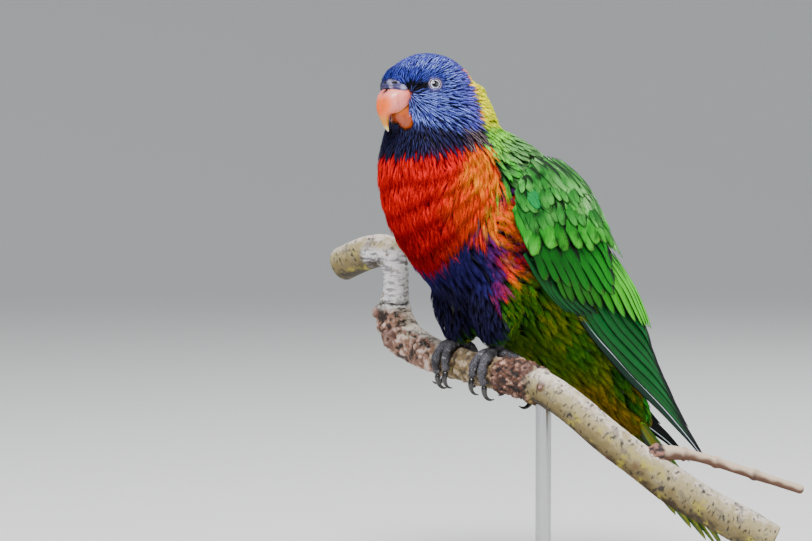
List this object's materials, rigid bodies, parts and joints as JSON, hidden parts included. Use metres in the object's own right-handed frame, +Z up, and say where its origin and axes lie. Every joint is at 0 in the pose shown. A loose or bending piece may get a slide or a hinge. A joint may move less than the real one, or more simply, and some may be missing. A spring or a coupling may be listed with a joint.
{
  "type": "rainbow lorikeet on a branch",
  "caption": "Life-size still rainbow lorikeet perched on a short cut branch, held up by a plain rod on a flat wooden base.",
  "frame": {"origin": "middle of the stand base's flat underside, on the surface that it stands on", "axes": "+Z up; the bird faces -Y with its tail towards +Y, and its left side is towards +X; the branch runs along X under its feet"},
  "size_m": [0.2292, 0.2052, 0.2465],
  "materials": {
    "head_plumage": "short violet-blue feathers with paler shaft streaks",
    "neck_plumage": "navy throat, orange-red breast and yellow-green nape feathers",
    "body_plumage": "orange-red breast, navy belly, green and yellow vent, green back",
    "wing_feathers": "glossy green vanes with dark edges, blackish flight feathers edged with blue",
    "tail_feathers": "green vanes above, olive yellow underneath",
    "leg_plumage": "soft navy feathers",
    "bill_horn": "smooth waxy orange-red horn with a paler tip",
    "eye": "wet black pupil in a pale grey ring",
    "foot_skin": "dry grey scales",
    "claw_horn": "dark smooth horn",
    "bark": "grey bark with lichen, brown flakes and pale cut ends",
    "stand_wood": "dark oiled walnut",
    "stand_steel": "brushed along the rod"
  },
  "bodies": {
    "root": {"head": "head_plumage", "neck": "neck_plumage", "torso": "body_plumage", "tail": "tail_feathers", "wing_left": "wing_feathers", "wing_right": "wing_feathers", "leg_left": "leg_plumage", "leg_right": "leg_plumage", "foot_left": "foot_skin", "foot_right": "foot_skin", "claw_left_1": "claw_horn", "claw_left_2": "claw_horn", "claw_left_3": "claw_horn", "claw_left_4": "claw_horn", "claw_right_1": "claw_horn", "claw_right_2": "claw_horn", "claw_right_3": "claw_horn", "claw_right_4": "claw_horn", "bill_upper": "bill_horn", "bill_lower": "bill_horn", "eye_left": "eye", "eye_right": "eye", "perch_branch": "bark", "stand_base": "stand_wood", "stand_rod": "stand_steel"}
  },
  "joints": []
}
